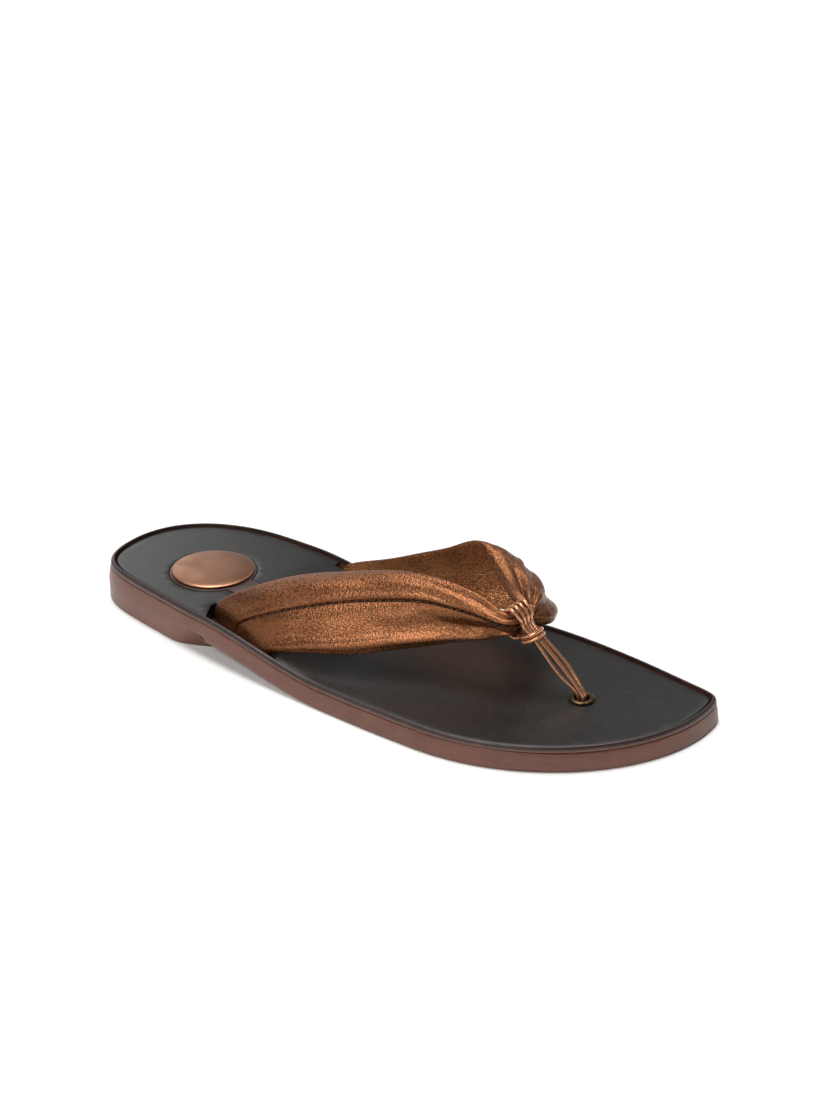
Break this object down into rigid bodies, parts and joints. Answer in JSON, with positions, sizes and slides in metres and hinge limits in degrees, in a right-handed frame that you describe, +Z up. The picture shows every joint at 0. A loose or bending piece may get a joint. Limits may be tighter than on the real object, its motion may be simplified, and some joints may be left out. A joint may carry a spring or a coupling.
{
  "type": "flip flop",
  "caption": "Flat leather toe-post sandal for the right foot, with gathered straps, a corded post and a metal disc set in the heel of the footbed.",
  "frame": {"origin": "on the ground under the middle of the sole's outline", "axes": "+X from the heel to the toe, +Y to the inner side of the foot, +Z up"},
  "size_m": [0.262, 0.0963, 0.0438],
  "materials": {
    "moulded_sole": "satin",
    "dark_rim": "satin",
    "cork": "matte",
    "fibreboard": "matte",
    "foam": "matte",
    "black_leather": "satin",
    "brown_leather": "satin",
    "copper": "satin",
    "steel": "satin",
    "antique_brass": "satin",
    "bronze_leather": "metallic satin",
    "lining_leather": "metallic satin",
    "thread": "matte",
    "cord_leather": "metallic satin"
  },
  "bodies": {
    "root": {"outsole": "moulded_sole", "rim_band": "dark_rim", "bottom_filler": "cork", "insole_board": "fibreboard", "footbed_foam": "foam", "footbed_cover": "black_leather", "keyhole_inlay": "brown_leather", "medallion_cap": "copper", "medallion_rivet": "steel", "medallion_washer": "steel", "toe_eyelet": "antique_brass", "toe_eyelet_washer": "antique_brass", "thong_anchor": "steel", "strap_rear_panel": "bronze_leather", "strap_front_panel": "bronze_leather", "strap_lining": "lining_leather", "seam_thread": "thread", "thong_cord_1": "cord_leather", "thong_cord_2": "cord_leather", "thong_cord_3": "cord_leather", "thong_cord_4": "cord_leather", "thong_wrap_1": "cord_leather", "thong_wrap_2": "cord_leather"}
  },
  "joints": []
}
